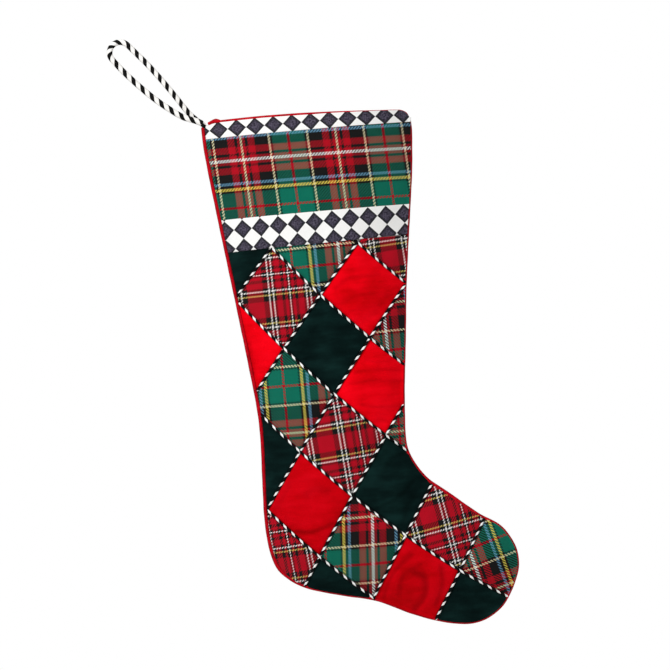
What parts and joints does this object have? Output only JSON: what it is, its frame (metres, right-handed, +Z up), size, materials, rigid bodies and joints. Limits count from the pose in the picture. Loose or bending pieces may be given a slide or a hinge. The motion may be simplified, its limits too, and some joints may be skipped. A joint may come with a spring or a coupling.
{
  "type": "hanging christmas stocking",
  "caption": "Hanging stocking with a tartan cuff between checked ribbons, a quilted patchwork leg and foot, striped seam cord, red piping, a lined pocket and a striped hanging loop.",
  "frame": {"origin": "the hanging corner: the top corner on the heel side, in the plane of the side seam, where the loop is sewn in", "axes": "+X from the heel side to the toe side along the mouth, +Y to the wall behind, +Z up"},
  "size_m": [0.3803, 0.0341, 0.6367],
  "materials": {
    "green_velvet": "short-pile dark green velvet",
    "back_velvet": "short-pile dark green velvet, plain back",
    "red_velvet": "short-pile bright red velvet",
    "red_tartan": "woven red tartan with black, white and yellow lines",
    "green_tartan": "woven green tartan with red, blue, yellow and cream lines",
    "cuff_tartan": "woven twill tartan, red and green with cream, blue and yellow lines",
    "checked_ribbon": "charcoal and white diamond check ribbon",
    "striped_cord": "bias-striped black and white cotton over cord",
    "red_piping": "red satin-cotton bias piping",
    "wadding": "polyester wadding",
    "lining": "plain red lining cloth"
  },
  "bodies": {
    "stocking": {"back_lining": "lining", "back_panel": "back_velvet", "back_wadding": "wadding", "front_lining": "lining", "front_wadding": "wadding", "long_seam_cord_1": "striped_cord", "long_seam_cord_2": "striped_cord", "long_seam_cord_3": "striped_cord", "long_seam_cord_4": "striped_cord", "long_seam_cord_5": "striped_cord", "loop_tack": "striped_cord", "lower_check_ribbon": "checked_ribbon", "mouth_piping": "red_piping", "patch_01_green_tartan": "green_tartan", "patch_02_red_tartan": "red_tartan", "patch_03_green_velvet": "green_velvet", "patch_04_red_velvet": "red_velvet", "patch_05_red_tartan": "red_tartan", "patch_06_green_tartan": "green_tartan", "patch_07_green_velvet": "green_velvet", "patch_08_red_velvet": "red_velvet", "patch_09_red_velvet": "red_velvet", "patch_10_green_tartan": "green_tartan", "patch_11_green_tartan": "green_tartan", "patch_12_red_tartan": "red_tartan", "patch_13_green_velvet": "green_velvet", "patch_14_green_velvet": "green_velvet", "patch_15_red_velvet": "red_velvet", "patch_16_red_tartan": "red_tartan", "patch_17_red_tartan": "red_tartan", "patch_18_green_tartan": "green_tartan", "patch_19_green_tartan": "green_tartan", "patch_20_red_velvet": "red_velvet", "patch_21_green_velvet": "green_velvet", "patch_22_green_velvet": "green_velvet", "piping_tail": "red_piping", "short_seam_cord_01": "striped_cord", "short_seam_cord_02": "striped_cord", "short_seam_cord_03": "striped_cord", "short_seam_cord_04": "striped_cord", "short_seam_cord_05": "striped_cord", "short_seam_cord_06": "striped_cord", "short_seam_cord_07": "striped_cord", "short_seam_cord_08": "striped_cord", "short_seam_cord_09": "striped_cord", "short_seam_cord_10": "striped_cord", "short_seam_cord_11": "striped_cord", "short_seam_cord_12": "striped_cord", "short_seam_cord_13": "striped_cord", "short_seam_cord_14": "striped_cord", "short_seam_cord_15": "striped_cord", "short_seam_cord_16": "striped_cord", "side_piping": "red_piping", "tartan_cuff": "cuff_tartan", "top_check_ribbon": "checked_ribbon"},
    "neck": {"loop_neck": "striped_cord"},
    "loop": {"hanging_loop": "striped_cord"}
  },
  "joints": [
    {"name": "loop_swing", "type": "hinge", "parent": "stocking", "child": "neck", "pos_m": [-0.0056, 0, 0.0019], "axis": [0, 1, 0], "range_deg": [-85, 90]},
    {"name": "loop_fold", "type": "hinge", "parent": "neck", "child": "loop", "pos_m": [-0.016, 0, 0.009], "axis": [0.71, 0, 0.7042], "range_deg": [-80, 80]}
  ]
}
